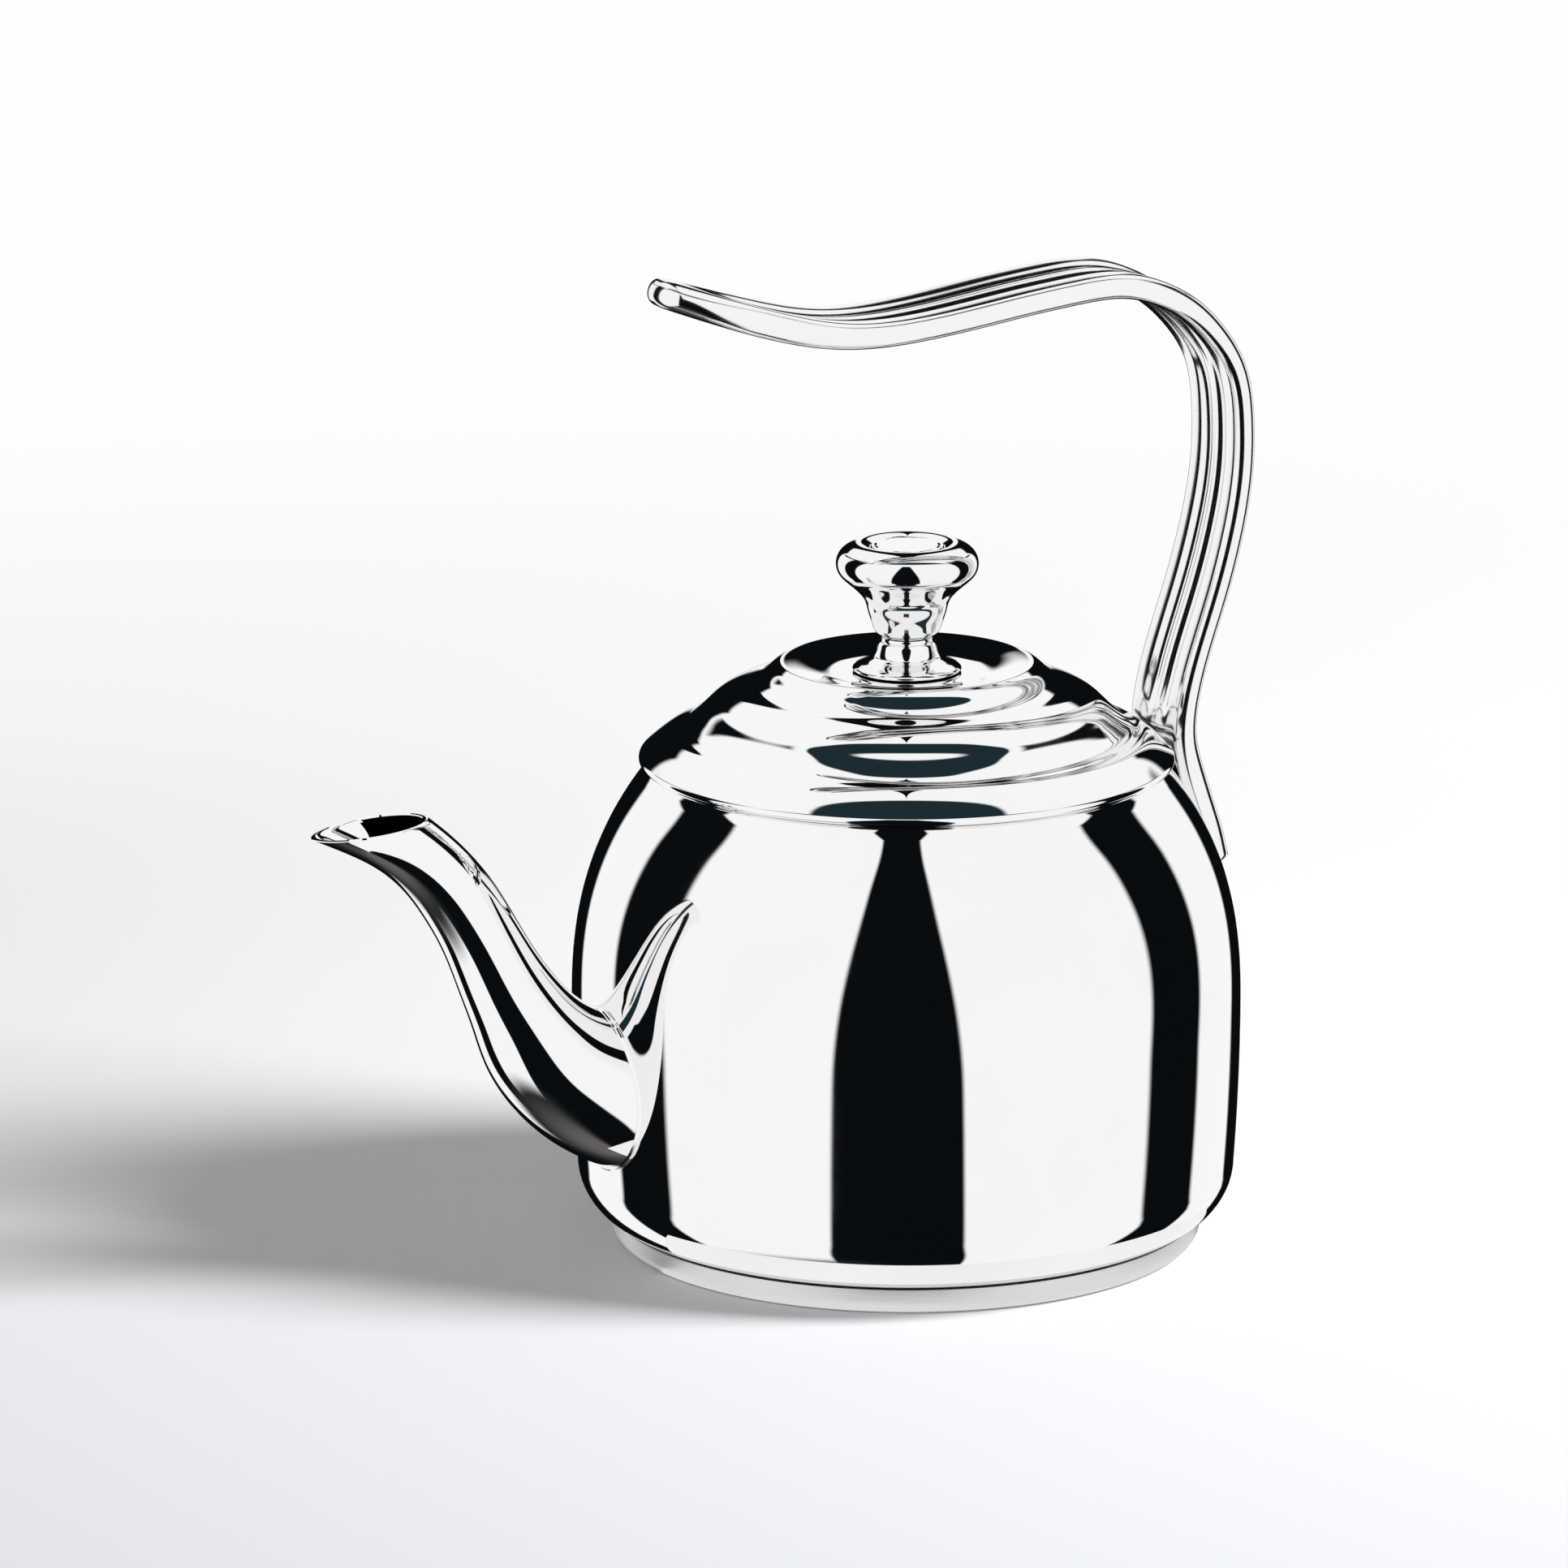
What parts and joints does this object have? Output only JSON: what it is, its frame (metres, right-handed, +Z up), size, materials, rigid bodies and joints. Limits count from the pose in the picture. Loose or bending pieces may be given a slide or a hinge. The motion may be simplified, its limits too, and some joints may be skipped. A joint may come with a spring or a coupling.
{
  "type": "gooseneck kettle",
  "caption": "Polished steel kettle with a barrel body, a narrow S-curved spout, a stepped lift-off lid with a turned knob, and an open-ended grooved cast handle.",
  "frame": {"origin": "on the table, under the axis of the round body", "axes": "+Z up along the body's axis, -X towards the spout's mouth, +X towards the handle's leg, +Y completes the right-handed frame across the kettle"},
  "size_m": [0.2275, 0.152, 0.2265],
  "materials": {
    "mirror_steel": "mirror polished stainless sheet",
    "satin_steel": "circular satin brushing",
    "polished_cast_steel": "polished casting",
    "core_aluminium": "plain, out of sight",
    "seal_rubber": "matt food-grade seal"
  },
  "bodies": {
    "kettle": {"body_shell": "mirror_steel", "base_core": "core_aluminium", "base_cap": "satin_steel", "spout": "mirror_steel", "handle": "polished_cast_steel", "handle_screw_upper": "satin_steel", "handle_screw_lower": "satin_steel", "handle_seal_upper": "seal_rubber", "handle_seal_lower": "seal_rubber"},
    "lid": {"lid_shell": "mirror_steel", "lid_skirt": "mirror_steel", "knob_foot": "polished_cast_steel", "knob_head": "polished_cast_steel", "knob_disc": "satin_steel", "knob_seal": "seal_rubber", "knob_washer": "polished_cast_steel", "knob_screw": "polished_cast_steel"}
  },
  "joints": [
    {"name": "lid_lift", "type": "slide", "parent": "kettle", "child": "lid", "axis": [0, 0, 1], "range_m": [0, 0.044]}
  ]
}
